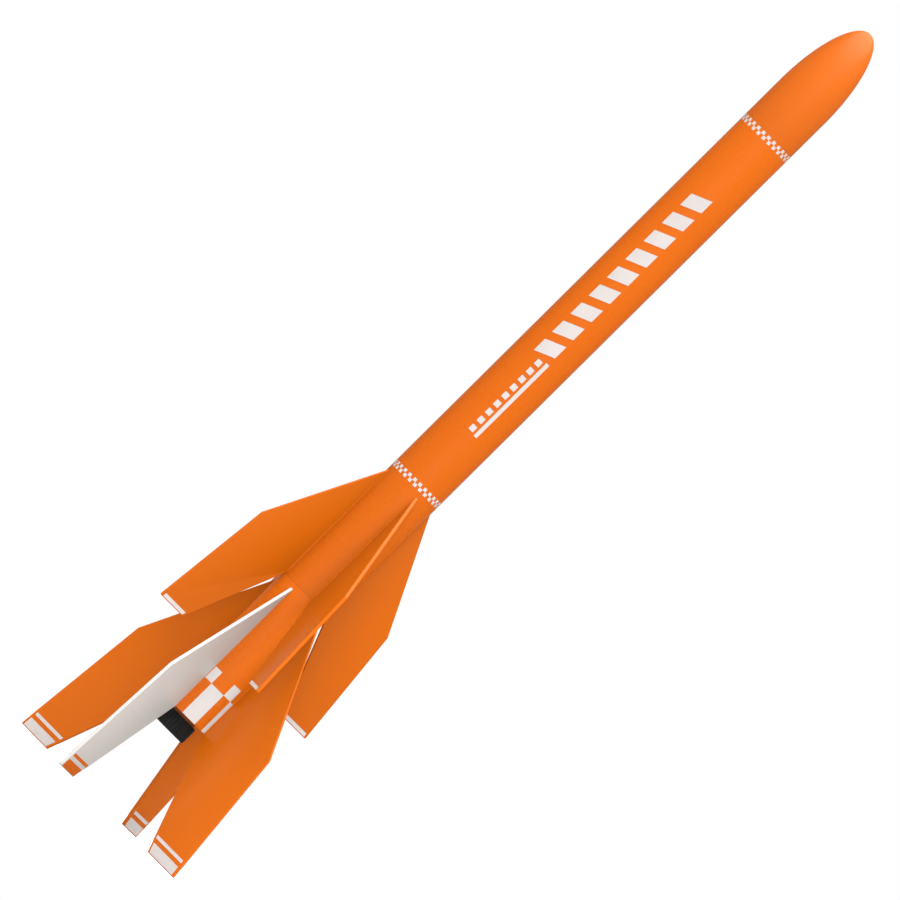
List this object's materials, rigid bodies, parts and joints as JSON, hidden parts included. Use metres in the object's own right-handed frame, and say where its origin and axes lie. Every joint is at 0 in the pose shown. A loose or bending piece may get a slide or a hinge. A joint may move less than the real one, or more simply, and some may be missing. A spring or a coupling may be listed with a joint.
{
  "type": "model rocket",
  "caption": "Two-stage model rocket: an elliptical nose and long tube with swept fins, on a short finned booster with a screw-on motor retainer.",
  "frame": {"origin": "on the rocket's axis, at the height of the booster fin tips that it stands on", "axes": "+Z along the rocket's axis to the nose; -Y through the white booster fin; the other booster fins lie on +X, +Y and -X"},
  "size_m": [0.1588, 0.1588, 0.7187],
  "materials": {
    "orange_tube": "gloss orange enamel over a spiral-wound paper tube",
    "orange_fin": "gloss orange enamel over sealed balsa",
    "white_fin": "gloss white enamel over sealed balsa",
    "nose_plastic": "gloss orange enamel over moulded plastic",
    "white_plastic": "bare moulded plastic",
    "white_film": "thin white decal film",
    "orange_film": "thin orange decal film",
    "black_plastic": "moulded black plastic, satin",
    "orange_plastic": "moulded plastic under orange overspray",
    "kraft_board": "bare kraft board",
    "lug_paper": "wound paper, painted with the tube",
    "motor_paper": "wound kraft casing",
    "clay": "pressed clay",
    "black_powder": "pressed powder",
    "spring_steel": "blued spring steel",
    "chute_film": "thin canopy material, folded and rolled",
    "tissue": "crumpled flame-proofed tissue",
    "anchor_paper": "folded paper glued to the tube's wall"
  },
  "bodies": {
    "booster_stage": {"booster_tube": "orange_tube", "stage_coupler": "kraft_board", "booster_fin_1": "white_fin", "booster_fin_2": "orange_fin", "booster_fin_3": "orange_fin", "booster_fin_4": "orange_fin", "booster_motor_tube": "kraft_board", "booster_front_ring": "kraft_board", "booster_rear_ring": "kraft_board", "booster_thrust_ring": "kraft_board", "retainer_base": "orange_plastic", "booster_launch_lug": "lug_paper", "booster_decals": "white_film", "white_fin_decals": "orange_film"},
    "booster_motor": {"booster_motor_casing": "motor_paper", "booster_motor_nozzle": "clay", "booster_propellant": "black_powder"},
    "screw_cap": {"retainer_cap": "black_plastic"},
    "sustainer_stage": {"sustainer_tube": "orange_tube", "sustainer_fin_1": "orange_fin", "sustainer_fin_2": "orange_fin", "sustainer_fin_3": "orange_fin", "sustainer_fin_4": "orange_fin", "sustainer_motor_tube": "kraft_board", "sustainer_front_ring": "kraft_board", "sustainer_rear_ring": "kraft_board", "sustainer_thrust_ring": "kraft_board", "sustainer_launch_lug": "lug_paper", "shock_cord_mount": "anchor_paper", "sustainer_decals": "white_film", "sustainer_motor_casing": "motor_paper", "sustainer_motor_nozzle": "clay", "sustainer_propellant": "black_powder", "delay_grain": "black_powder", "ejection_charge": "black_powder", "motor_clay_cap": "clay", "recovery_wadding": "tissue"},
    "motor_hook": {"engine_hook": "spring_steel"},
    "nose": {"nose_cone": "nose_plastic", "nose_base_plug": "white_plastic"},
    "chute_pack": {"parachute": "chute_film"}
  },
  "joints": [
    {"name": "stage_separation", "type": "slide", "parent": "booster_stage", "child": "sustainer_stage", "axis": [0, 0, 1], "range_m": [0, 0.12]},
    {"name": "nose_release", "type": "slide", "parent": "sustainer_stage", "child": "nose", "axis": [0, 0, 1], "range_m": [0, 0.12]},
    {"name": "chute_release", "type": "slide", "parent": "sustainer_stage", "child": "chute_pack", "axis": [0, 0, 1], "range_m": [0, 0.1201]},
    {"name": "hook_flex", "type": "hinge", "parent": "sustainer_stage", "child": "motor_hook", "pos_m": [0, -0.01, 0.2608], "axis": [-1, 0, 0], "range_deg": [0, 1.8], "stiffness_Nm_per_rad": 0.5},
    {"name": "motor_slide", "type": "slide", "parent": "booster_stage", "child": "booster_motor", "axis": [0, 0, -1], "range_m": [0, 0.0061]},
    {"name": "cap_turn", "type": "hinge", "parent": "booster_motor", "child": "screw_cap", "pos_m": [0, 0, 0.066], "axis": [0, 0, -1], "range_deg": [0, 720]}
  ],
  "couplings": [
    {"joint": "chute_release", "follows": "nose_release", "ratio": 1},
    {"joint": "motor_slide", "follows": "cap_turn", "m_per_rad": 0.00047746}
  ]
}
